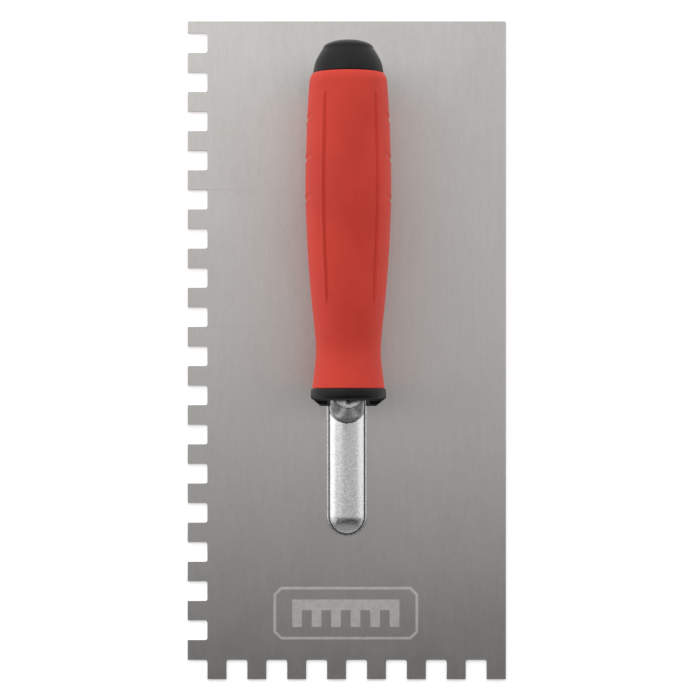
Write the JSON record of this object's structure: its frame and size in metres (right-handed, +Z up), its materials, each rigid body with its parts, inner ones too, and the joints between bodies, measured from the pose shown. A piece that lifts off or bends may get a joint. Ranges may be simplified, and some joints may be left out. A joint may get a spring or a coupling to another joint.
{
  "type": "notched trowel",
  "caption": "Flat stainless trowel with square notches along one long and one short edge, riveted to a cast aluminium mounting with a two-component grip, for combing tile adhesive.",
  "frame": {"origin": "centre of the blade's working face, which is also the centre of the bottom of the object's box", "axes": "+Z up, out of the working face towards the handle; +Y along the blade towards the butt of the handle; +X towards the plain long edge"},
  "size_m": [0.1306, 0.27, 0.0696],
  "materials": {
    "stainless_sheet": "fine brushed cold-rolled stainless sheet",
    "aluminium_casting": "die cast, tumbled bright",
    "rivet_metal": "ground flush",
    "black_core": "injection moulded polypropylene",
    "red_grip": "satin thermoplastic rubber overmould",
    "black_cap": "injection moulded, fine satin",
    "zinc_steel": "zinc plated",
    "spring_steel": "phosphated spring steel"
  },
  "bodies": {
    "root": {"blade": "stainless_sheet", "mounting": "aluminium_casting", "rivet_1": "rivet_metal", "rivet_2": "rivet_metal", "rivet_3": "rivet_metal", "rivet_4": "rivet_metal", "rivet_5": "rivet_metal", "rivet_6": "rivet_metal", "handle_core": "black_core", "grip_sleeve": "red_grip", "end_cap": "black_cap", "retaining_screw": "zinc_steel", "flat_washer": "zinc_steel", "lock_washer": "spring_steel"}
  },
  "joints": []
}
